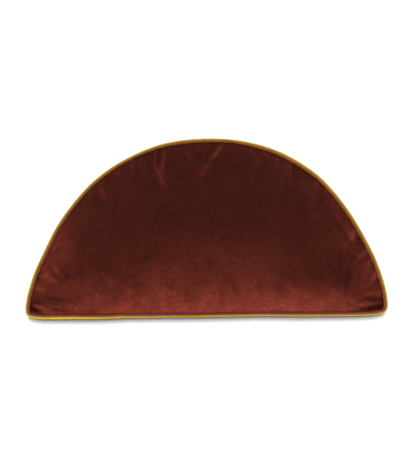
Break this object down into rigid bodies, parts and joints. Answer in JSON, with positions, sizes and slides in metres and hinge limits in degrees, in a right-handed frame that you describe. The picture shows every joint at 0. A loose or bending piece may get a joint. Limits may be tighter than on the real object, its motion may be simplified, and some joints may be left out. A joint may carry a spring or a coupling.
{
  "type": "half-moon throw pillow",
  "caption": "Filled half-moon throw pillow in velvet with a flat straight edge, a soft crown on both faces and contrast piping sewn into the seam.",
  "frame": {"origin": "middle of the footprint's bounding box, on the surface that the back rests on", "axes": "+X along the straight edge, +Y towards the top of the curved edge, +Z out of the front face"},
  "size_m": [0.6612, 0.3306, 0.1051],
  "materials": {
    "velvet": "dark rust-red cotton velvet, short pile lying towards the straight edge, soft sheen",
    "piping_cloth": "mustard-gold cloth cut on the bias over a filler cord, matte with a slight sheen"
  },
  "bodies": {
    "root": {"velvet_cushion": "velvet", "piping": "piping_cloth"}
  },
  "joints": []
}
